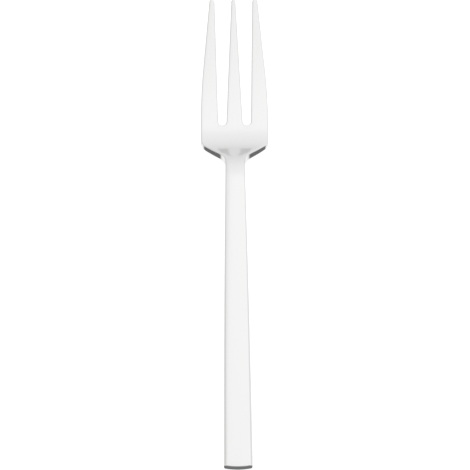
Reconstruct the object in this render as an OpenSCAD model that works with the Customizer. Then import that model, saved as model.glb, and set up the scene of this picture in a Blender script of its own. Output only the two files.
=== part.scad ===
// Three-tined pastry fork, forged and polished from one piece of stainless steel.
// It lies on a table with its tines towards +Y, its hollow side up and its handle's end towards -Y.
// Every place on it is given by x, across the fork, and s, the distance from the handle's end
// along the middle of the metal, which the side profile then bends.

/* [Handle] */
// Length of the straight handle, up to where the neck starts to bend
handle_l = 89.2; // [70:0.1:120]
// Width at the handle's end
handle_end_w = 8.4; // [6.8:0.1:11]
// Width at the neck, the narrowest place
neck_w = 5.7; // [4.6:0.1:6.6]
// How far the middle of the handle's sides stands out from a straight taper
side_bow = 0.12; // [0:0.01:0.3]
// Thickness at the handle's end
handle_end_t = 3.4; // [2.2:0.1:4]
// Thickness where the neck starts to bend
neck_t = 2.5; // [1.8:0.1:3]
// Height of the crown along the handle's top face
crown_h = 0.15; // [0:0.01:0.3]
// How far the middle of the handle's end stands out from its corners
end_bow = 0.35; // [0:0.05:1]
// Radius of the two corners of the handle's end
end_corner_r = 0.5; // [0.4:0.05:1.5]

/* [Neck and shoulders] */
// Radius of the bend at the neck, on the middle of the metal
neck_bend_r = 12.5; // [9:0.5:20]
// Slope that the neck's bend ends at, in degrees
drop_angle = 31.5; // [22:0.5:34]
// Length of the drop between the neck's bend and the belly's bend
drop_l = 4.4; // [2:0.1:6]
// Radius of the drop's slight further curve downwards
drop_curve_r = 90; // [60:5:300]
// Radius of the bend that forms the belly
belly_bend_r = 15; // [11:0.5:24]
// Length of neck between the start of its bend and the start of its flare
neck_lead = 5.6; // [2:0.1:8]
// Radius of the flare from the neck into a shoulder
flare_r = 6; // [3:0.1:8]
// Angle between a shoulder and the fork's length, in degrees
shoulder_angle = 45; // [40:1:60]
// Radius of the shoulder's outer corner
shoulder_corner_r = 3.5; // [0.8:0.1:4.5]
// Thickness at the shoulders
shoulder_t = 1.8; // [1.5:0.1:2.4]

/* [Head and tines] */
// Width of the head at its widest
head_w = 20.4; // [17:0.1:24]
// Length of solid head between the shoulder corners and the slot bottoms
root_l = 5.8; // [4:0.1:10]
// Length of the tines, from the slot bottoms to the tips
tine_l = 40.5; // [30:0.1:50]
// Width of a slot at its round bottom
slot_w = 2.6; // [2:0.05:3.2]
// Width of the middle tine at its root
middle_root_w = 4.85; // [4:0.05:5.6]
// Width of the middle tine at its tip
middle_tip_w = 1.25; // [1.1:0.05:1.8]
// Width of an outer tine at its tip
outer_tip_w = 1.55; // [1.2:0.05:2]
// Width across the three tips
tip_span_w = 14.7; // [12:0.1:17]
// Share of the tines' length over which the head's sides curve inwards
side_curve_share = 0.44; // [0.2:0.01:0.8]
// Thickness at the tips
tip_t = 1.15; // [0.9:0.05:1.6]
// Angle by which the belly's bend runs on past level, in degrees
belly_lift = 4; // [0:0.5:8]
// Radius of the tines' slight upward curve
tine_curve_r = 185; // [120:5:400]

/* [Finish] */
// Radius of the polished edges round the head, the tines and the handle's end
edge_r = 0.3; // [0.1:0.05:0.4]
// Radius of the handle's long edges near its end, which narrows to edge_r at the neck
handle_edge_r = 0.8; // [0.3:0.05:0.9]

/* [Hidden] */

// Steps of the mesh across and along each feature
middle_steps = 2;
slot_steps = 6;
outer_steps = 4;
corner_steps = 3;
handle_steps = 8;
neck_steps = 5;
flare_steps = 5;
shoulder_steps = 5;
root_steps = 8;
tine_steps = 14;
edge_steps = 3;

// Length of handle over which the bow of its end dies away
bow_fade_l = 4;
// The largest edge radius that the thin tips can take, as a share of their width or thickness
tip_edge_share = 0.42;
edge = min(edge_r, tip_edge_share * tip_t, tip_edge_share * middle_tip_w, tip_edge_share * outer_tip_w);

// Places along the fork, all measured from the handle's end
s_flare = handle_l + neck_lead;
s_flare_end = s_flare + flare_r * sin(shoulder_angle);
shoulder_in_x = neck_w / 2 + flare_r * (1 - cos(shoulder_angle));
shoulder_out_x = head_w / 2 - shoulder_corner_r * (1 - cos(shoulder_angle));
s_corner = s_flare_end + (shoulder_out_x - shoulder_in_x) / tan(shoulder_angle);
s_head = s_corner + shoulder_corner_r * sin(shoulder_angle);
s_slot = s_head + root_l;
s_root = s_slot + slot_w / 2;
s_tip = s_slot + tine_l;

// Side profile: a straight handle, a bend down at the neck, the drop, a bend up at the belly, then
// the tines. The handle's slope lets the handle's end and the belly touch the table together.
foot_angle = drop_angle + drop_l / drop_curve_r * 180 / PI;
profile_drop = shoulder_t / 2
    - neck_bend_r * cos(drop_angle)
    + drop_curve_r * (cos(drop_angle) - cos(foot_angle))
    + belly_bend_r * (1 - cos(foot_angle));
profile_lever = handle_end_t / 2 - neck_bend_r;
handle_slope = asin(profile_drop / norm([handle_l, profile_lever])) - atan2(profile_lever, handle_l);

// A place on the profile is [y, z, slope]; a negative radius bends down and a positive one up
function arc_l(radius, angle) = radius * angle * PI / 180;
function bend(from, length, radius) =
    let (slope = from[2] + length / radius * 180 / PI)
    [
        from[0] + radius * (sin(slope) - sin(from[2])),
        from[1] + radius * (cos(from[2]) - cos(slope)),
        slope
    ];

neck_bend_l = arc_l(neck_bend_r, handle_slope + drop_angle);
belly_bend_l = arc_l(belly_bend_r, foot_angle + belly_lift);
s_drop = handle_l + neck_bend_l;
s_foot = s_drop + drop_l;
s_belly = s_foot + belly_bend_l;
at_end = [0, 0, handle_slope];
at_neck = [handle_l * cos(handle_slope), handle_l * sin(handle_slope), handle_slope];
at_drop = bend(at_neck, neck_bend_l, -neck_bend_r);
at_foot = bend(at_drop, drop_l, -drop_curve_r);
at_belly = bend(at_foot, belly_bend_l, belly_bend_r);

function profile(s) =
    s < handle_l ? at_end + [s * cos(handle_slope), s * sin(handle_slope), 0]
    : s < s_drop ? bend(at_neck, s - handle_l, -neck_bend_r)
    : s < s_foot ? bend(at_drop, s - s_drop, -drop_curve_r)
    : s < s_belly ? bend(at_foot, s - s_foot, belly_bend_r)
    : bend(at_belly, s - s_belly, tine_curve_r);

// Thickness of the metal and height of the top face's crown
function thickness(s) = lookup(s, [
    [0, handle_end_t],
    [handle_l, neck_t],
    [s_corner, shoulder_t],
    [s_root, shoulder_t],
    [s_tip, tip_t]
]);
function crown(s) = lookup(s, [[0, crown_h], [handle_l, crown_h], [s_flare_end, 0]]);

// Outline of the right half up to the head: x, s and the angle of the edge to the fork's length
handle_taper_rise = (neck_w - handle_end_w) / 2 / s_flare;
end_corner_x = handle_end_w / 2 - end_corner_r;
// Rows nearer to the handle's end than this follow its bow
end_corner_s = end_bow + 2 * end_corner_r;
function handle_half_w(s) =
    let (run = min(s, s_flare), share = run / s_flare)
    handle_end_w / 2 + handle_taper_rise * run + 4 * side_bow * share * (1 - share);
function handle_angle(s) = atan(handle_taper_rise + 4 * side_bow * (1 - 2 * s / s_flare) / s_flare);
function steps(from, to, count) = [for (k = [1:count]) from + (to - from) * k / count];

side_line = [
    for (angle = concat([90], steps(90, handle_angle(0), corner_steps)))
        [end_corner_x + end_corner_r * cos(angle), end_bow + end_corner_r * (1 - sin(angle)), angle],
    for (s = concat([bow_fade_l], steps(bow_fade_l, handle_l, handle_steps)))
        [handle_half_w(s), s, handle_angle(s)],
    for (s = steps(handle_l, s_flare, neck_steps))
        [handle_half_w(s), s, handle_angle(s)],
    for (angle = steps(0, shoulder_angle, flare_steps))
        [neck_w / 2 + flare_r * (1 - cos(angle)), s_flare + flare_r * sin(angle), angle],
    for (k = [1:shoulder_steps - 1])
        let (share = k / shoulder_steps)
        [
            shoulder_in_x + share * (shoulder_out_x - shoulder_in_x),
            s_flare_end + share * (s_corner - s_flare_end),
            shoulder_angle
        ],
    for (angle = concat([shoulder_angle], steps(shoulder_angle, 0, corner_steps)))
        [head_w / 2 - shoulder_corner_r * (1 - cos(angle)), s_head - shoulder_corner_r * sin(angle), angle]
];

// Sides of the tines: the head's side curves in and then runs straight, and the slots widen evenly
side_curve_l = side_curve_share * (s_tip - s_root);
side_straight_l = s_tip - s_root - side_curve_l;
side_taper_rise = (head_w - tip_span_w) / 2 / (side_curve_l / 2 + side_straight_l);
function tine_share(s) = (s - s_root) / (s_tip - s_root);
function outer_side(s) =
    let (
        run = s - s_root,
        fall = run < side_curve_l ? run * run / side_curve_l / 2 : run - side_curve_l / 2
    )
    head_w / 2 - side_taper_rise * fall;
function outer_inside(s) =
    let (root_x = middle_root_w / 2 + slot_w, tip_x = tip_span_w / 2 - outer_tip_w)
    root_x + (tip_x - root_x) * tine_share(s);
function middle_side(s) = (middle_root_w + (middle_tip_w - middle_root_w) * tine_share(s)) / 2;

// Radius of the rounded edge at a place along the fork. Rows and loops of places lie inside the
// outline by a share of it, called inside: 0 on the outline and 1 where the flat faces start.
function edge_at(s) = lookup(s, [
    [end_corner_s, edge],
    [bow_fade_l, handle_edge_r],
    [s_flare, edge]
]);

// Row of places across the roots of the tines, with the round slot bottom between them
function root_row(inside) =
    let (
        inset = inside * edge,
        middle_x = middle_root_w / 2 - inset,
        slot_x = (middle_root_w + slot_w) / 2,
        slot_r = slot_w / 2 + inset,
        outer_x = slot_x + slot_r,
        side_x = head_w / 2 - inset
    )
    [
        for (k = [0:middle_steps]) [middle_x * k / middle_steps, s_root],
        for (angle = steps(180, 0, slot_steps))
            [slot_x + slot_r * cos(angle), s_root - slot_r * sin(angle)],
        for (k = [1:outer_steps]) [outer_x + (side_x - outer_x) * k / outer_steps, s_root]
    ];
row_shares = [for (place = root_row(0)) place[0] / (head_w / 2)];

// Rows of places from the handle's end to the roots, each from the middle line to the edge
function body_rows(inside) =
    let (
        side = [
            for (p = side_line)
                let (inset = inside * edge_at(p[1]))
                [p[0] - inset * cos(p[2]), p[1] + inset * sin(p[2])]
        ],
        root = root_row(inside),
        head = [for (share = row_shares) [share * (head_w / 2 - inside * edge), s_head]]
    )
    [
        for (p = side)
            let (bow = p[1] < end_corner_s ? end_bow : 0)
            [for (share = row_shares) [share * p[0], p[1] - bow * (1 - share * share)]],
        for (t = steps(0, 1, root_steps)) head + (root - head) * t
    ];

// Rows of places along the tines, from the root to the round tip, for the right half of the middle
// tine and the whole of an outer one
function middle_rows(inside) =
    let (
        inset = inside * edge,
        s_round = s_tip - middle_tip_w / 2,
        tip_r = middle_side(s_round) - inset
    )
    [
        [for (k = [0:middle_steps]) root_row(inside)[k]],
        for (s = steps(s_root, s_round, tine_steps))
            [for (k = [0:middle_steps]) [(middle_side(s) - inset) * k / middle_steps, s]],
        [for (k = [0:middle_steps])
            let (angle = 90 * (1 - k / middle_steps))
            [tip_r * cos(angle), s_round + tip_r * sin(angle)]]
    ];
function outer_rows(inside) =
    let (
        inset = inside * edge,
        first = middle_steps + slot_steps,
        s_round = s_tip - outer_tip_w / 2,
        tip_x = (outer_inside(s_round) + outer_side(s_round)) / 2,
        tip_r = outer_side(s_round) - tip_x - inset
    )
    [
        [for (k = [0:outer_steps]) root_row(inside)[first + k]],
        for (s = steps(s_root, s_round, tine_steps))
            let (inner_x = outer_inside(s) + inset, outer_x = outer_side(s) - inset)
            [for (k = [0:outer_steps]) [inner_x + (outer_x - inner_x) * k / outer_steps, s]],
        [for (k = [0:outer_steps])
            let (angle = 180 * (1 - k / outer_steps))
            [tip_x + tip_r * cos(angle), s_round + tip_r * sin(angle)]]
    ];

// Edge of the half, from the middle of the handle's end, round the outer tine to the middle tip
function last(list) = list[len(list) - 1];
function reverse(list) = [for (k = [len(list) - 1:-1:0]) list[k]];
function edge_loop(inside) =
    let (
        body = body_rows(inside),
        outer = outer_rows(inside),
        middle = middle_rows(inside),
        tine_rows = [for (k = [1:tine_steps]) k]
    )
    [
        each body[0],
        for (j = [1:len(body) - 1]) last(body[j]),
        for (j = tine_rows) last(outer[j]),
        each reverse(last(outer)),
        for (j = reverse(tine_rows)) outer[j][0],
        for (k = [slot_steps:-1:0]) root_row(inside)[middle_steps + k],
        for (j = tine_rows) last(middle[j]),
        each reverse(last(middle))
    ];

// A place on the plan, lifted by a height above the middle of the metal, as a point of the bent fork
function bent(place, height) =
    let (on = profile(place[1]))
    [place[0], on[0] - height * sin(on[2]), on[1] + height * cos(on[2])];
function top_h(place) =
    let (share = place[0] / handle_half_w(place[1]))
    thickness(place[1]) / 2 - crown(place[1]) * share * share;
function back_h(place) = -thickness(place[1]) / 2;
function on_top(rows) = [for (row = rows) [for (place = row) bent(place, top_h(place))]];
function on_back(rows) = [for (row = rows) [for (place = row) bent(place, back_h(place))]];

// Rounded edge all round, as loops from the back face to the top face
edge_angles = concat([0], steps(0, 90, edge_steps));
edge_rows = [
    for (angle = reverse(edge_angles))
        [
            for (place = edge_loop(1 - cos(angle)))
                bent(place, back_h(place) + edge_at(place[1]) * (1 - sin(angle)))
        ],
    for (angle = edge_angles)
        [
            for (place = edge_loop(1 - cos(angle)))
                bent(place, top_h(place) - edge_at(place[1]) * (1 - sin(angle)))
        ]
];

// Triangles between rows of points, and across one ring of points
function skin(rows) = [
    for (j = [0:len(rows) - 2], i = [0:len(rows[j]) - 2])
        each [
            [rows[j][i], rows[j + 1][i], rows[j + 1][i + 1]],
            [rows[j][i], rows[j + 1][i + 1], rows[j][i + 1]]
        ]
];
function fan(ring) = [for (k = [1:len(ring) - 2]) [ring[0], ring[k], ring[k + 1]]];
function first_column(rows) = [for (row = rows) row[0]];
function last_column(rows) = [for (row = rows) last(row)];

body = body_rows(1);
outer_tine = outer_rows(1);
middle_tine = middle_rows(1);
middle_line = concat(first_column(body), [for (k = [1:len(middle_tine) - 1]) middle_tine[k][0]]);
half_skin = concat(
    skin(on_top(body)), skin(on_top(outer_tine)), skin(on_top(middle_tine)),
    skin(on_back(reverse(body))), skin(on_back(reverse(outer_tine))), skin(on_back(reverse(middle_tine))),
    skin(edge_rows),
    skin(concat(on_top([middle_line]), on_back([middle_line]))),
    fan(reverse(first_column(edge_rows))),
    fan(last_column(edge_rows))
);

// The origin is at the middle of the fork's length and width, on the table under it
half_points = [for (triangle = half_skin) each triangle];
y_middle = (min([for (p = half_points) p[1]]) + max([for (p = half_points) p[1]])) / 2;
z_table = min([for (p = half_points) p[2]]);

// Right half of the fork, closed along the middle line
module fork_half() {
    polyhedron(
        points = [for (p = half_points) p - [0, y_middle, z_table]],
        faces = [for (k = [0:len(half_skin) - 1]) [3 * k, 3 * k + 1, 3 * k + 2]]
    );
}

// The whole fork, in polished stainless steel
module fork() {
    color("gainsboro") {
        fork_half();
        mirror([1, 0, 0]) fork_half();
    }
}

fork();
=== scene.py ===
from math import asin, atan, atan2, cos, hypot, pi, radians, sin, tan

import bpy
import numpy as np
from mathutils import Matrix, Vector


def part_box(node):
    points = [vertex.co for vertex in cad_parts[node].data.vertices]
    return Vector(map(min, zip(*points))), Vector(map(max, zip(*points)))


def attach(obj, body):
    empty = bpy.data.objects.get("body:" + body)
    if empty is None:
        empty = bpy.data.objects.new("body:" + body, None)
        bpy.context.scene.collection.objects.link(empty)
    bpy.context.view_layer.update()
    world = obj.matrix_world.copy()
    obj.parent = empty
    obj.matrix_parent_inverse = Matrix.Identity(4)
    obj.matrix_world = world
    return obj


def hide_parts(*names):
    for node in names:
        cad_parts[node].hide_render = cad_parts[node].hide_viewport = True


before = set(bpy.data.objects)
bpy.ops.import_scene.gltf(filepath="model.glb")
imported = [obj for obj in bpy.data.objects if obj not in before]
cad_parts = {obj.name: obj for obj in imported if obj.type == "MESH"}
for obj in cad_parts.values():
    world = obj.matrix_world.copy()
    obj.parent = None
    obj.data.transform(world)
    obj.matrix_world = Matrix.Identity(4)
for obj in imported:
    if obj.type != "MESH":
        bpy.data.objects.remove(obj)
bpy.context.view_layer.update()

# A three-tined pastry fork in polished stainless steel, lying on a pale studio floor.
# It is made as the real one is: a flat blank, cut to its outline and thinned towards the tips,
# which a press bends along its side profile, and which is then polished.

MM = 0.001

# Sizes of the blank in millimetres, as in the part's source
HANDLE_L = 89.2
HANDLE_END_W = 8.4
NECK_W = 5.7
HANDLE_END_T = 3.4
NECK_T = 2.5
SIDE_BOW = 0.12
CROWN_H = 0.15
END_BOW = 0.35
END_CORNER_R = 0.5
NECK_LEAD = 5.6
FLARE_R = 6
SHOULDER_ANGLE = radians(45)
SHOULDER_CORNER_R = 3.5
SHOULDER_T = 1.8
HEAD_W = 20.4
ROOT_L = 5.8
TINE_L = 40.5
SLOT_W = 2.6
MIDDLE_ROOT_W = 4.85
MIDDLE_TIP_W = 1.25
OUTER_TIP_W = 1.55
TIP_SPAN_W = 14.7
SIDE_CURVE_SHARE = 0.44
TIP_T = 1.15
EDGE_R = 0.3
HANDLE_EDGE_R = 0.8

# Sizes of the press
NECK_BEND_R = 12.5
DROP_L = 4.4
DROP_CURVE_R = 90
BELLY_BEND_R = 15
DROP_ANGLE = radians(31.5)
FOOT_ANGLE = DROP_ANGLE + DROP_L / DROP_CURVE_R
BELLY_LIFT = radians(4)
TINE_CURVE_R = 185

# Places along the fork, from the handle's end along the middle of the metal. Rows of the mesh
# follow the bow of the handle's end up to S_BOWED.
S_END_CORNER = END_BOW + END_CORNER_R
S_BOWED = END_BOW + 2 * END_CORNER_R
S_FLARE = HANDLE_L + NECK_LEAD
S_FLARE_END = S_FLARE + FLARE_R * sin(SHOULDER_ANGLE)
SHOULDER_IN_X = NECK_W / 2 + FLARE_R * (1 - cos(SHOULDER_ANGLE))
SHOULDER_OUT_X = HEAD_W / 2 - SHOULDER_CORNER_R * (1 - cos(SHOULDER_ANGLE))
S_CORNER = S_FLARE_END + (SHOULDER_OUT_X - SHOULDER_IN_X) / tan(SHOULDER_ANGLE)
S_HEAD = S_CORNER + SHOULDER_CORNER_R * sin(SHOULDER_ANGLE)
S_SLOT = S_HEAD + ROOT_L
S_ROOT = S_SLOT + SLOT_W / 2
S_TIP = S_SLOT + TINE_L
# Change of half the handle's width along it, for each millimetre
HANDLE_TAPER_RISE = (NECK_W - HANDLE_END_W) / 2 / S_FLARE

# Steps of the mesh across and along each feature
MIDDLE_STEPS = 4
SLOT_STEPS = 12
OUTER_STEPS = 8
CORNER_STEPS = 6
HANDLE_STEPS = 60
NECK_STEPS = 12
FLARE_STEPS = 12
SHOULDER_STEPS = 20
ROOT_STEPS = 28
TINE_STEPS = 80
EDGE_STEPS = 5

# Finer sizes of the polished blank, which the part's source leaves out or has coarser:
# the length of handle over which the bow of its end dies away
BOW_FADE_L = 2.2
# Radius of the rim round the handle's end face
END_EDGE_R = 0.35
# Width and depth of the soft roll-off that polishing leaves beside every edge
ROLL_W = 1.6
ROLL_H = 0.07
# Where the faces and the walls start beside a rounded edge, as shares of its radius. The strip
# between them and the rounding keeps the light on them even.
FACE_INSIDE = 1.17
WALL_DROP = 1.17
# Width over which the mark of the edges fades out on the faces
RIM_W = 0.9


def spread(start, end, count):
    """Even steps from start to end, without the start."""
    return [start + (end - start) * k / count for k in range(1, count + 1)]


def table_of(places, values):
    """A function that reads between listed values."""
    return lambda s: float(np.interp(s, places, values))


thickness = table_of(
    [0, HANDLE_L, S_CORNER, S_ROOT, S_TIP],
    [HANDLE_END_T, NECK_T, SHOULDER_T, SHOULDER_T, TIP_T],
)
crown = table_of([0, HANDLE_L, S_FLARE_END], [CROWN_H, CROWN_H, 0])
# Radius of the rounded side edge at a place along the fork
side_edge = table_of([S_END_CORNER, S_FLARE], [HANDLE_EDGE_R, EDGE_R])


def edge_run(s):
    """How far the rounded edge reaches in from the outline, across the fork and along it."""
    across = side_edge(s)
    return across, END_EDGE_R if s < S_END_CORNER else across


def edge_radius(s, angle):
    """Radius of the rounded edge where the outline runs at an angle to the fork's length."""
    across, along = edge_run(s)
    return hypot(across * cos(angle), along * sin(angle))


def handle_half_w(s):
    """Half the handle's width, with the slight bow of its sides."""
    run = min(s, S_FLARE)
    share = run / S_FLARE
    return HANDLE_END_W / 2 + HANDLE_TAPER_RISE * run + 4 * SIDE_BOW * share * (1 - share)


def handle_angle(s):
    """Angle of the handle's side to the fork's length."""
    return atan(HANDLE_TAPER_RISE + 4 * SIDE_BOW * (1 - 2 * s / S_FLARE) / S_FLARE)


def side_line():
    """Outline of the right half up to the head: x, s and its angle to the fork's length."""
    corner_x = HANDLE_END_W / 2 - END_CORNER_R
    line = [
        (corner_x + END_CORNER_R * cos(a), END_BOW + END_CORNER_R * (1 - sin(a)), a)
        for a in [pi / 2] + spread(pi / 2, handle_angle(0), CORNER_STEPS)
    ]
    straight = [BOW_FADE_L] + spread(BOW_FADE_L, HANDLE_L, HANDLE_STEPS)
    straight += spread(HANDLE_L, S_FLARE, NECK_STEPS)
    line += [(handle_half_w(s), s, handle_angle(s)) for s in straight]
    line += [
        (NECK_W / 2 + FLARE_R * (1 - cos(a)), S_FLARE + FLARE_R * sin(a), a)
        for a in spread(0, SHOULDER_ANGLE, FLARE_STEPS)
    ]
    line += [
        (
            SHOULDER_IN_X + share * (SHOULDER_OUT_X - SHOULDER_IN_X),
            S_FLARE_END + share * (S_CORNER - S_FLARE_END),
            SHOULDER_ANGLE,
        )
        for share in spread(0, 1, SHOULDER_STEPS)[:-1]
    ]
    line += [
        (HEAD_W / 2 - SHOULDER_CORNER_R * (1 - cos(a)), S_HEAD - SHOULDER_CORNER_R * sin(a), a)
        for a in [SHOULDER_ANGLE] + spread(SHOULDER_ANGLE, 0, CORNER_STEPS)
    ]
    return line


SIDE_LINE = side_line()
# Curved and straight lengths of an outer tine's outer side, and how steeply the straight runs in
SIDE_CURVE_L = SIDE_CURVE_SHARE * (S_TIP - S_ROOT)
SIDE_STRAIGHT_L = S_TIP - S_ROOT - SIDE_CURVE_L
SIDE_TAPER_RISE = (HEAD_W - TIP_SPAN_W) / 2 / (SIDE_CURVE_L / 2 + SIDE_STRAIGHT_L)


def tine_share(s):
    """How far along the tines a place is, from 0 at the roots to 1 at the tips."""
    return (s - S_ROOT) / (S_TIP - S_ROOT)


def outer_side(s):
    """The outer tine's outer side, which curves inwards and then runs straight."""
    run = s - S_ROOT
    fall = run * run / SIDE_CURVE_L / 2 if run < SIDE_CURVE_L else run - SIDE_CURVE_L / 2
    return HEAD_W / 2 - SIDE_TAPER_RISE * fall


def outer_inside(s):
    """The outer tine's side towards the slot."""
    root_x = MIDDLE_ROOT_W / 2 + SLOT_W
    tip_x = TIP_SPAN_W / 2 - OUTER_TIP_W
    return root_x + (tip_x - root_x) * tine_share(s)


def middle_side(s):
    """The middle tine's side."""
    return (MIDDLE_ROOT_W + (MIDDLE_TIP_W - MIDDLE_ROOT_W) * tine_share(s)) / 2


# Rows and loops of places lie inside the outline by a share of the edge's rounding, called inside:
# 0 on the outline and 1 at the rounding's inner end.
def root_row(inside):
    """Places across the roots of the tines, with the round slot bottom between them."""
    inset = inside * EDGE_R
    middle_x = MIDDLE_ROOT_W / 2 - inset
    slot_x = (MIDDLE_ROOT_W + SLOT_W) / 2
    slot_r = SLOT_W / 2 + inset
    outer_x = slot_x + slot_r
    row = [(middle_x * k / MIDDLE_STEPS, S_ROOT) for k in range(MIDDLE_STEPS + 1)]
    row += [(slot_x + slot_r * cos(a), S_ROOT - slot_r * sin(a)) for a in spread(pi, 0, SLOT_STEPS)]
    row += [(x, S_ROOT) for x in spread(outer_x, HEAD_W / 2 - inset, OUTER_STEPS)]
    return row


# How the places of a row are spread, as shares of half the fork's width there
ROW_SHARES = [place[0] / (HEAD_W / 2) for place in root_row(0)]


def body_rows(inside):
    """Rows from the handle's end to the roots, each from the middle line to the edge."""
    rows = []
    for x, s, angle in SIDE_LINE:
        across, along = edge_run(s)
        side_x = x - inside * across * cos(angle)
        side_s = s + inside * along * sin(angle)
        if s < S_END_CORNER:
            # Stay clear of the wider rounding of the handle's sides
            side_x = min(side_x, HANDLE_END_W / 2 - inside * across)
        bow = END_BOW if side_s < S_BOWED else 0
        rows.append([(share * side_x, side_s - bow * (1 - share * share)) for share in ROW_SHARES])
    root = np.array(root_row(inside))
    head = np.array([(share * (HEAD_W / 2 - inside * EDGE_R), S_HEAD) for share in ROW_SHARES])
    for share in spread(0, 1, ROOT_STEPS):
        rows.append([tuple(place) for place in head + (root - head) * share])
    return rows


def middle_rows(inside):
    """Rows along the right half of the middle tine, from its root to its round tip."""
    inset = inside * EDGE_R
    s_round = S_TIP - MIDDLE_TIP_W / 2
    tip_r = middle_side(s_round) - inset
    across = [k / MIDDLE_STEPS for k in range(MIDDLE_STEPS + 1)]
    rows = [root_row(inside)[: MIDDLE_STEPS + 1]]
    for s in spread(S_ROOT, s_round, TINE_STEPS):
        rows.append([((middle_side(s) - inset) * share, s) for share in across])
    angles = [pi / 2 * (1 - share) for share in across]
    rows.append([(tip_r * cos(a), s_round + tip_r * sin(a)) for a in angles])
    return rows


def outer_rows(inside):
    """Rows along an outer tine, from its root to its round tip."""
    inset = inside * EDGE_R
    s_round = S_TIP - OUTER_TIP_W / 2
    tip_x = (outer_inside(s_round) + outer_side(s_round)) / 2
    tip_r = outer_side(s_round) - tip_x - inset
    across = [k / OUTER_STEPS for k in range(OUTER_STEPS + 1)]
    rows = [root_row(inside)[MIDDLE_STEPS + SLOT_STEPS :]]
    for s in spread(S_ROOT, s_round, TINE_STEPS):
        inner_x = outer_inside(s) + inset
        outer_x = outer_side(s) - inset
        rows.append([(inner_x + (outer_x - inner_x) * share, s) for share in across])
    angles = [pi * (1 - share) for share in across]
    rows.append([(tip_x + tip_r * cos(a), s_round + tip_r * sin(a)) for a in angles])
    return rows


# Radius of the rounded edge at the end of each row of the body
BODY_EDGES = [edge_radius(s, angle) for _, s, angle in SIDE_LINE] + [EDGE_R] * ROOT_STEPS


def edge_loop(inside):
    """Edge of the half, from the middle of the handle's end, round the outer tine, to the middle
    tip: each place's x and s, and the radius of the edge there."""
    body, outer, middle = body_rows(inside), outer_rows(inside), middle_rows(inside)
    along = range(1, TINE_STEPS + 1)
    tines = [outer[j][-1] for j in along]
    tines += outer[-1][::-1]
    tines += [outer[j][0] for j in reversed(along)]
    tines += root_row(inside)[MIDDLE_STEPS : MIDDLE_STEPS + SLOT_STEPS + 1][::-1]
    tines += [middle[j][-1] for j in along]
    tines += middle[-1][::-1]
    loop = [(*place, END_EDGE_R) for place in body[0]]
    loop += [(*row[-1], radius) for row, radius in zip(body[1:], BODY_EDGES[1:])]
    loop += [(*place, EDGE_R) for place in tines]
    return loop


# The fork's outline on its right half, as places x and s
HALF_OUTLINE = np.array(edge_loop(0))[:, :2]
# Two places closer together than this, in millimetres, count as one
SAME_PLACE = 1e-6


def outline_distances(places):
    """How far each place of the blank is from its outline."""
    places = np.array(places)
    mirrored = HALF_OUTLINE * (-1, 1)
    starts = np.concatenate([HALF_OUTLINE[:-1], mirrored[:-1]])
    ends = np.concatenate([HALF_OUTLINE[1:], mirrored[1:]])
    runs = ends - starts
    squares = np.maximum((runs**2).sum(1), SAME_PLACE**2)
    nearest = np.full(len(places), np.inf)
    for start, run, square in zip(starts, runs, squares):
        share = np.clip((places - start) @ run / square, 0, 1)
        nearest = np.minimum(nearest, np.hypot(*(places - start - share[:, None] * run).T))
    return nearest


def top_h(place, distance):
    """Height of the top face above the middle of the metal, crowned and rolled off at the edge."""
    x, s = place
    share = x / handle_half_w(s)
    roll = ROLL_H * max(0, 1 - distance / ROLL_W) ** 2
    return thickness(s) / 2 - crown(s) * share * share - roll


def back_h(place):
    """Height of the flat back below the middle of the metal."""
    return -thickness(place[1]) / 2


# Points that agree to this many digits of a millimetre become one
POINT_DIGITS = 5


class Blank:
    """Points and faces of the flat blank, and how near each point is to the edge."""

    def __init__(self):
        self.points, self.faces, self.rims, self.index = [], [], [], {}

    def point(self, x, s, h, distance):
        """Number of the point at a place, which is added if it is new."""
        key = tuple(round(value, POINT_DIGITS) for value in (x, s, h))
        if key not in self.index:
            self.index[key] = len(self.points)
            self.points.append((x * MM, s * MM, h * MM))
            self.rims.append(max(0, 1 - distance / RIM_W))
        return self.index[key]

    def skin(self, rows):
        """Faces between rows of x, s, height and distance from the edge, on both halves."""
        for side in (1, -1):
            index = [[self.point(side * x, s, h, d) for x, s, h, d in row] for row in rows]
            for low, high in zip(index, index[1:]):
                for k in range(len(low) - 1):
                    ring = [low[k], low[k + 1], high[k + 1], high[k]][::side]
                    ring = [p for n, p in enumerate(ring) if p != ring[n - 1]]
                    if len(ring) > 2:
                        self.faces.append(ring)


def rim_loop(inside, drop, on_top):
    """A loop of the rounded edge, below the top or above the back by a share of its radius."""
    loop = edge_loop(inside)
    points = []
    for (x, s, radius), distance in zip(loop, outline_distances([place[:2] for place in loop])):
        if on_top:
            height = top_h((x, s), distance) - drop * radius
        else:
            height = back_h((x, s)) + drop * radius
        points.append((x, s, height, distance))
    return points


def cut_blank():
    """The flat blank with its crown, thickness and rounded edges."""
    blank = Blank()
    for rows in (body_rows(FACE_INSIDE), middle_rows(FACE_INSIDE), outer_rows(FACE_INSIDE)):
        top, back = [], []
        for row in rows:
            distances = outline_distances(row)
            top.append([(x, s, top_h((x, s), d), d) for (x, s), d in zip(row, distances)])
            back.append([(x, s, back_h((x, s)), d) for (x, s), d in zip(row, distances)])
        blank.skin(top)
        blank.skin(back[::-1])
    turns = [k / EDGE_STEPS * pi / 2 for k in range(EDGE_STEPS + 1)]
    rounding = [(1 - cos(turn), 1 - sin(turn)) for turn in turns]
    wall_to_face = [(0, WALL_DROP)] + rounding + [(FACE_INSIDE, 0)]
    loops = [rim_loop(inside, drop, False) for inside, drop in reversed(wall_to_face)]
    loops += [rim_loop(inside, drop, True) for inside, drop in wall_to_face]
    blank.skin(loops)
    mesh = bpy.data.meshes.new("Blank")
    mesh.from_pydata(blank.points, [], blank.faces)
    rim = mesh.attributes.new("rim", "FLOAT", "POINT")
    rim.data.foreach_set("value", blank.rims)
    return mesh


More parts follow.
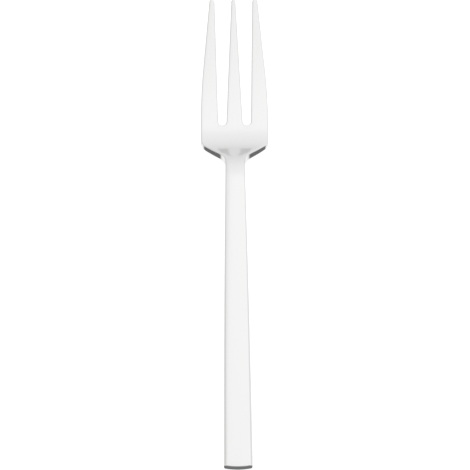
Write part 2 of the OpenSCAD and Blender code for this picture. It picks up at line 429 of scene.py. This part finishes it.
class Wire:
    """An output of a node. Python's operators on it add Math nodes."""

    def __init__(self, net, socket):
        self.net, self.socket = net, socket

    def of(self, name):
        """Another output of the same node."""
        return self.net.output(self.socket.node, name)

    def math(self, operation, *values):
        """A Math node that has no operator of its own."""
        return self.net.math(operation, self, *values)

    def __add__(self, other):
        return self.net.math("ADD", self, other)

    def __sub__(self, other):
        return self.net.math("SUBTRACT", self, other)

    def __mul__(self, other):
        return self.net.math("MULTIPLY", self, other)

    def __truediv__(self, other):
        return self.net.math("DIVIDE", self, other)

    def __radd__(self, other):
        return self.net.math("ADD", other, self)

    def __rsub__(self, other):
        return self.net.math("SUBTRACT", other, self)

    def __rmul__(self, other):
        return self.net.math("MULTIPLY", other, self)

    def __rtruediv__(self, other):
        return self.net.math("DIVIDE", other, self)

    def __neg__(self):
        return self.net.math("MULTIPLY", self, -1)


class Net:
    """A node tree that is drawn by Python expressions."""

    def __init__(self, tree):
        self.tree = tree
        tree.nodes.clear()

    def output(self, node, name=None):
        """The output of that name that is in use, or else the first one."""
        return Wire(self, next(s for s in node.outputs if s.enabled and name in (None, s.name)))

    def node(self, kind, settings=None, inputs=None, output=None):
        """Add a node: its type, its settings, then the values or links of its sockets."""
        node = self.tree.nodes.new(kind)
        for name, value in (settings or {}).items():
            if name == "stops":
                ramp = node.color_ramp
                while len(ramp.elements) < len(value):
                    ramp.elements.new(1)
                for stop, (place, level) in zip(ramp.elements, value):
                    stop.position = place
                    stop.color = (level, level, level, 1)
            elif name == "blend":
                node.color_ramp.interpolation = value
            else:
                setattr(node, name, value)
        for name, value in (inputs or {}).items():
            self.plug(node, name, value)
        return self.output(node, output) if any(s.enabled for s in node.outputs) else node

    def plug(self, node, name, value):
        """Give a socket, told by its name or number, a value or a link."""
        if isinstance(name, int):
            socket = node.inputs[name]
        else:
            socket = next(s for s in node.inputs if s.enabled and s.name == name)
        if isinstance(value, Wire):
            self.tree.links.new(value.socket, socket)
        else:
            socket.default_value = value

    def math(self, operation, *values):
        """A Math node on numbers or wires."""
        return self.node("ShaderNodeMath", {"operation": operation}, dict(enumerate(values)))

    def clamp(self, value, low, high):
        """The value, kept between low and high."""
        return self.math("MINIMUM", self.math("MAXIMUM", value, low), high)

    def split(self, vector):
        """The x, y and z of a vector."""
        x = self.node("ShaderNodeSeparateXYZ", {}, {"Vector": vector}, "X")
        return x, x.of("Y"), x.of("Z")

    def ramp(self, value, stops, blend="LINEAR"):
        """Grey levels read between listed stops."""
        settings = {"stops": stops, "blend": blend}
        return self.node("ShaderNodeValToRGB", settings, {"Fac": value}, "Color")

    def wide_ramp(self, value, stops, blend="LINEAR"):
        """A ramp over values from -1 to 1."""
        stops = [((place + 1) / 2, level) for place, level in stops]
        return self.ramp((value + 1) * 0.5, stops, blend)

    def noise(self, place, stretch, scale, detail):
        """Soft random values between 0 and 1, drawn out along an axis by stretch."""
        drawn = self.node("ShaderNodeMapping", {}, {"Vector": place, "Scale": stretch})
        sockets = {"Vector": drawn, "Scale": scale, "Detail": detail}
        return self.node("ShaderNodeTexNoise", {}, sockets, "Fac")


# Spacing of the points on the press's profile, and how far it runs on past both ends of the fork
PRESS_STEP = 0.25
PRESS_LEAD = 10
PRESS_POINTS = round((S_TIP + 2 * PRESS_LEAD) / PRESS_STEP) + 1
# Rounds of smoothing that ease each bend into the next
PRESS_EASE = 24


def handle_slope():
    """Slope at which the handle's end and the belly touch the table together."""
    drop = SHOULDER_T / 2 - NECK_BEND_R * cos(DROP_ANGLE)
    drop += DROP_CURVE_R * (cos(DROP_ANGLE) - cos(FOOT_ANGLE))
    drop += BELLY_BEND_R * (1 - cos(FOOT_ANGLE))
    lever = HANDLE_END_T / 2 - NECK_BEND_R
    return asin(drop / hypot(HANDLE_L, lever)) - atan2(lever, HANDLE_L)


def build_press(material):
    """A node tree that bends a flat blank along the fork's side profile."""
    tree = bpy.data.node_groups.new("Fork press", "GeometryNodeTree")
    sizes = {
        "Handle length": HANDLE_L * MM,
        "Handle slope": handle_slope(),
        "Neck bend radius": NECK_BEND_R * MM,
        "Drop angle": DROP_ANGLE,
        "Drop length": DROP_L * MM,
        "Drop curve radius": DROP_CURVE_R * MM,
        "Belly bend radius": BELLY_BEND_R * MM,
        "Belly lift": BELLY_LIFT,
        "Tine curve radius": TINE_CURVE_R * MM,
        "Profile lead": PRESS_LEAD * MM,
        "Profile step": PRESS_STEP * MM,
    }
    counts = {"Profile points": PRESS_POINTS, "Bend easing": PRESS_EASE}
    tree.interface.new_socket("Geometry", in_out="OUTPUT", socket_type="NodeSocketGeometry")
    tree.interface.new_socket("Geometry", in_out="INPUT", socket_type="NodeSocketGeometry")
    for name in sizes:
        tree.interface.new_socket(name, in_out="INPUT", socket_type="NodeSocketFloat")
    for name in counts:
        tree.interface.new_socket(name, in_out="INPUT", socket_type="NodeSocketInt")
    net = Net(tree)
    blank = net.node("NodeGroupInput", output="Geometry")
    handle_l, slope = blank.of("Handle length"), blank.of("Handle slope")
    neck_r, drop = blank.of("Neck bend radius"), blank.of("Drop angle")
    drop_r = blank.of("Drop curve radius")
    drop_turn = blank.of("Drop length") / drop_r
    belly_r, lift = blank.of("Belly bend radius"), blank.of("Belly lift")
    lead, step = blank.of("Profile lead"), blank.of("Profile step")

    # Points of the profile lie evenly along s, and each stretch adds its run to y and z
    start = net.node("ShaderNodeCombineXYZ", {}, {"Y": -lead})
    offset = net.node("ShaderNodeCombineXYZ", {}, {"Y": step})
    line = net.node(
        "GeometryNodeMeshLine",
        {"mode": "OFFSET", "count_mode": "TOTAL"},
        {"Count": blank.of("Profile points"), "Start Location": start, "Offset": offset},
    )
    _, s, _ = net.split(net.node("GeometryNodeInputPosition"))
    on_handle = s.math("MINIMUM", handle_l)
    y = on_handle * slope.math("COSINE")
    z = on_handle * slope.math("SINE")
    # Each bend has its angle and its radius, both negative where the fork bends down
    bends = ((-(slope + drop), -neck_r), (-drop_turn, -drop_r), (drop + drop_turn + lift, belly_r))
    from_s, from_slope = handle_l, slope
    for angle, radius in bends:
        length = angle * radius
        run = net.clamp(s - from_s, 0, length)
        to_slope = from_slope + run / radius
        y = y + radius * (to_slope.math("SINE") - from_slope.math("SINE"))
        z = z + radius * (from_slope.math("COSINE") - to_slope.math("COSINE"))
        from_s, from_slope = from_s + length, from_slope + angle
    curve_r = blank.of("Tine curve radius")
    to_slope = from_slope + (s - from_s).math("MAXIMUM", 0) / curve_r
    y = y + curve_r * (to_slope.math("SINE") - from_slope.math("SINE"))
    z = z + curve_r * (from_slope.math("COSINE") - to_slope.math("COSINE"))
    place = net.node("ShaderNodeCombineXYZ", {}, {"Y": y, "Z": z})
    line = net.node("GeometryNodeSetPosition", {}, {"Geometry": line, "Position": place})
    eased = net.node(
        "GeometryNodeBlurAttribute",
        {"data_type": "FLOAT_VECTOR"},
        {
            "Value": net.node("GeometryNodeInputPosition"),
            "Iterations": blank.of("Bend easing"),
            "Weight": net.node("GeometryNodeInputIndex").math("MINIMUM", 1),
        },
    )
    line = net.node("GeometryNodeSetPosition", {}, {"Geometry": line, "Position": eased})
    profile = net.node("GeometryNodeMeshToCurve", {}, {"Mesh": line})

    # Each point of the blank goes to its place on the profile, and its height goes along the normal
    x, s, height = net.split(net.node("GeometryNodeInputPosition"))
    on_profile = net.node(
        "GeometryNodeSampleCurve",
        {"mode": "LENGTH", "use_all_curves": True},
        {"Curves": profile, "Length": s + lead},
        "Position",
    )
    _, middle_y, middle_z = net.split(on_profile)
    _, along_y, along_z = net.split(on_profile.of("Tangent"))
    bent = {"X": x, "Y": middle_y - height * along_z, "Z": middle_z + height * along_y}
    place = net.node("ShaderNodeCombineXYZ", {}, bent)
    pressed = net.node("GeometryNodeSetPosition", {}, {"Geometry": blank, "Position": place})
    pressed = net.node("GeometryNodeRealizeInstances", {}, {"Geometry": pressed})
    pressed = net.node("GeometryNodeSetMaterial", {}, {"Geometry": pressed, "Material": material})
    net.node("NodeGroupOutput", {}, {"Geometry": pressed})
    return tree, {**sizes, **counts}


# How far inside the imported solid's box the finished fork ends, in metres
FIT_SLACK = 0.5e-6


def press_fork(material):
    """The finished fork: the blank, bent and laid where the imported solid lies."""
    holder = bpy.data.objects.new("Blank", cut_blank())
    bpy.context.scene.collection.objects.link(holder)
    tree, values = build_press(material)
    press = holder.modifiers.new("Press", "NODES")
    press.node_group = tree
    for item in tree.interface.items_tree:
        if item.name in values:
            press[item.identifier] = values[item.name]
    evaluated = holder.evaluated_get(bpy.context.evaluated_depsgraph_get())
    mesh = bpy.data.meshes.new_from_object(evaluated)
    mesh.name = "Pastry fork"
    holder.modifiers.remove(press)
    bpy.data.objects.remove(holder)
    corners = np.array([v.co for v in mesh.vertices])
    low, high = corners.min(0), corners.max(0)
    cad_low, cad_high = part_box("fork")
    fit = (cad_high.y - cad_low.y - 2 * FIT_SLACK) / (high[1] - low[1])
    shift = Vector((0, cad_low.y + FIT_SLACK - fit * low[1], cad_low.z + FIT_SLACK - low[2]))
    mesh.transform(Matrix.Translation(shift) @ Matrix.Diagonal((1, fit, 1, 1)))
    mesh.shade_smooth()
    fork = bpy.data.objects.new("Pastry_fork", mesh)
    bpy.context.scene.collection.objects.link(fork)
    return fork


# Patterns on the steel: how each is drawn out along the fork, its scale and its detail
POLISHING_LINES = ((1, 0.012, 1), 6000, 2)
WIPING_MARKS = ((1, 0.25, 1), 180, 3)
RIPPLE = ((1, 0.6, 1), 90, 1)
# Colour of the steel, and how far wiping marks and polishing lines take it to its darker shade
STEEL_COLOUR = (0.88, 0.88, 0.875, 1)
STEEL_SHADE = (0.855, 0.855, 0.855, 1)
WIPE_SHADE = 0.6
LINE_SHADE = 0.2
# Roughness of the steel, and what wiping marks, polishing lines and ground edges add to it
STEEL_ROUGHNESS = 0.11
WIPE_ROUGHNESS = 0.05
LINE_ROUGHNESS = 0.02
EDGE_ROUGHNESS = 0.05
# How sharply the ground edges end towards the faces
EDGE_FALLOFF = 6
# Relief: the polishing lines' height in ripples, the strength of the bump, and its depth in metres
LINE_HEIGHT = 0.02
RELIEF_STRENGTH = 0.25
RELIEF_DEPTH = 0.00002


def polished_steel():
    """Mirror-polished steel with lengthwise polishing lines, soft wiping marks and ground edges."""
    material = bpy.data.materials.new("Polished steel")
    material.use_nodes = True
    net = Net(material.node_tree)
    place = net.node("ShaderNodeTexCoord", output="Object")
    rim = net.node("ShaderNodeAttribute", {"attribute_name": "rim"}, output="Fac")
    lines = net.noise(place, *POLISHING_LINES)
    wipes = net.noise(place, *WIPING_MARKS)
    ripple = net.noise(place, *RIPPLE)
    ground = rim.math("POWER", EDGE_FALLOFF)
    colour = net.node(
        "ShaderNodeMix",
        {"data_type": "RGBA"},
        {"Factor": wipes * WIPE_SHADE + lines * LINE_SHADE, "A": STEEL_COLOUR, "B": STEEL_SHADE},
        "Result",
    )
    roughness = STEEL_ROUGHNESS + (wipes - 0.5) * WIPE_ROUGHNESS
    roughness = roughness + lines * LINE_ROUGHNESS + ground * EDGE_ROUGHNESS
    relief = {
        "Strength": RELIEF_STRENGTH,
        "Distance": RELIEF_DEPTH,
        "Height": lines * LINE_HEIGHT + ripple,
    }
    bump = net.node("ShaderNodeBump", {}, relief)
    surface = {"Base Color": colour, "Metallic": 1.0, "Roughness": roughness, "Normal": bump}
    shader = net.node("ShaderNodeBsdfPrincipled", {}, surface)
    net.node("ShaderNodeOutputMaterial", {}, {"Surface": shader})
    return material


# Half the floor's width in metres, its grey and roughness, and the light that it gives off
FLOOR_HALF_W = 3.0
FLOOR_GREY = 0.2
FLOOR_ROUGHNESS = 0.9
FLOOR_GLOW = 0.86


def floor_material():
    """Opal floor, lit from below, on which the fork leaves hardly any shadow."""
    material = bpy.data.materials.new("Pale floor")
    material.use_nodes = True
    net = Net(material.node_tree)
    surface = {
        "Base Color": (FLOOR_GREY, FLOOR_GREY, FLOOR_GREY, 1),
        "Roughness": FLOOR_ROUGHNESS,
        "Emission Color": (1, 1, 1, 1),
        "Emission Strength": FLOOR_GLOW,
    }
    shader = net.node("ShaderNodeBsdfPrincipled", {}, surface)
    net.node("ShaderNodeOutputMaterial", {}, {"Surface": shader})
    return material


def lay_floor():
    """The floor under the fork, in whose place the steel reflects the studio's lower half."""
    half = FLOOR_HALF_W
    mesh = bpy.data.meshes.new("Floor")
    corners = [(-half, -half, 0), (half, -half, 0), (half, half, 0), (-half, half, 0)]
    mesh.from_pydata(corners, [], [(0, 1, 2, 3)])
    floor = bpy.data.objects.new("Floor", mesh)
    floor.data.materials.append(floor_material())
    floor.visible_glossy = False
    bpy.context.scene.collection.objects.link(floor)


# Brightness of the studio round the fork, by how far a direction points along +X, +Y or +Z.
# Above the horizon: by y, then by x
SKY_BY_Y = [
    (-1.0, 0.7), (-0.9, 0.95), (-0.7, 1.15), (-0.5, 1.25), (-0.25, 1.25), (-0.1, 1.09),
    (0.12, 1.115), (0.2, 1.14), (0.33, 1.165), (0.44, 1.14), (0.64, 1.075), (0.77, 1.05),
    (0.88, 1.02), (0.96, 0.97), (0.985, 0.94), (1.0, 0.905),
]
SKY_BY_X = [
    (-1.0, 0.62), (-0.8, 0.68), (-0.5, 0.77), (-0.3, 0.85), (-0.15, 0.94), (-0.08, 1.0),
    (0.1, 1.01), (0.5, 1.02), (0.7, 0.92), (0.9, 0.75), (1.0, 0.72),
]
# A ramp's levels end at 1, so SKY_BY_Y goes into it as shares of its peak
SKY_PEAK = 1.25
# A small dark card beyond the handle's end, for the rims that face it: where it hangs, by y and
# by x to either side, and the share of the light that it takes away
CARD_BY_Y = [(-0.96, 0), (-0.91, 1), (-0.63, 1), (-0.53, 0)]
CARD_BY_X = [(0.3, 1), (0.45, 0)]
CARD_SHADE = 0.83
# Below the horizon, by y, where the steel reflects this and not the floor
SKY_BELOW = [
    (-0.45, 0.2), (-0.22, 0.13), (-0.12, 0.9), (0.1, 1.15),
    (0.25, 1.1), (0.4, 0.92), (0.9, 0.7), (1.0, 0.68),
]
# Level of the dark zone below the horizon for the face of the handle's end, and where that zone
# is left, by x to either side and by y
END_LEVEL = 0.2
END_ZONE_BY_X = [(0.3, 0), (0.55, 1)]
END_ZONE_BY_Y = [(0.05, 0), (0.2, 1)]
# Soft line between the two halves, by z
HORIZON = [(-0.04, 0), (0, 1)]
# Brightness of the whole studio
SKY_LEVEL = 0.898


def light_sky():
    """A soft studio tent: bright overhead, fading towards its sides, with a dark card in it, and
    darker below the horizon."""
    world = bpy.data.worlds.new("Studio tent")
    world.use_nodes = True
    bpy.context.scene.world = world
    net = Net(world.node_tree)
    toward = net.node("ShaderNodeTexCoord", output="Generated")
    x, y, z = net.split(toward)
    aside = x.math("ABSOLUTE")
    by_y = net.wide_ramp(y, [(place, level / SKY_PEAK) for place, level in SKY_BY_Y])
    by_x = net.wide_ramp(x, SKY_BY_X)
    card = net.wide_ramp(y, CARD_BY_Y) * net.ramp(aside, CARD_BY_X, "EASE")
    sky = by_y * by_x * SKY_PEAK * (1 - card * CARD_SHADE)
    outside = net.ramp(aside, END_ZONE_BY_X, "EASE")
    outside = outside.math("MAXIMUM", net.ramp(y, END_ZONE_BY_Y, "EASE"))
    below = END_LEVEL + outside * (net.wide_ramp(y, SKY_BELOW) - END_LEVEL)
    above = net.wide_ramp(z, HORIZON, "EASE")
    level = (below + above * (sky - below)) * SKY_LEVEL
    shader = net.node("ShaderNodeBackground", {}, {"Color": (1, 1, 1, 1), "Strength": level})
    net.node("ShaderNodeOutputWorld", {}, {"Surface": shader})


# Soft lights, which the steel doesn't mirror: name, place and size in metres, power in watts
LAMPS = [
    ("Front softbox", (0.0, -1.1, 1.2), 0.8, 10.8),
    ("Top light", (0.0, 0.3, 1.6), 1.2, 33),
]


def hang_light(name, place, size, power):
    """A square soft light that faces the fork."""
    light = bpy.data.lights.new(name, "AREA")
    light.shape = "SQUARE"
    light.size = size
    light.energy = power
    lamp = bpy.data.objects.new(name, light)
    lamp.location = place
    lamp.rotation_mode = "QUATERNION"
    lamp.rotation_quaternion = (-Vector(place)).to_track_quat("-Z", "Y")
    lamp.visible_camera = False
    lamp.visible_glossy = False
    bpy.context.scene.collection.objects.link(lamp)


# The camera's place round a point of the fork, its focal length in widths of the picture, and the
# distances in metres between which it sees
CAMERA_ELEVATION = radians(65.8)
CAMERA_AZIMUTH = radians(-0.74)
CAMERA_ROLL = radians(-0.2)
CAMERA_DISTANCE = 0.8
CAMERA_TARGET = Vector((-0.00023, -0.0025, 0.004))
CAMERA_FOCUS = 2690 / 470
CAMERA_NEAR = 0.01
CAMERA_FAR = 50
SENSOR_W = 36


def set_camera():
    """The camera stands where the photograph was taken from."""
    rise, azimuth, roll = CAMERA_ELEVATION, CAMERA_AZIMUTH, CAMERA_ROLL
    back = Vector((sin(azimuth) * cos(rise), -cos(azimuth) * cos(rise), sin(rise)))
    level = (-back).cross(Vector((0, 0, 1))).normalized()
    upright = level.cross(-back)
    right = level * cos(roll) - upright * sin(roll)
    up = level * sin(roll) + upright * cos(roll)
    lens = bpy.data.cameras.new("Camera")
    lens.sensor_width = SENSOR_W
    lens.lens = CAMERA_FOCUS * SENSOR_W
    lens.clip_start = CAMERA_NEAR
    lens.clip_end = CAMERA_FAR
    camera = bpy.data.objects.new("Camera", lens)
    turned = Matrix((right, up, back)).transposed().to_4x4()
    camera.matrix_world = Matrix.Translation(CAMERA_TARGET + back * CAMERA_DISTANCE) @ turned
    bpy.context.scene.collection.objects.link(camera)
    bpy.context.scene.camera = camera


fork = press_fork(polished_steel())
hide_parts("fork")
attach(fork, "root")

lay_floor()
light_sky()
for lamp in LAMPS:
    hang_light(*lamp)
set_camera()
bpy.context.scene.view_settings.view_transform = "Standard"
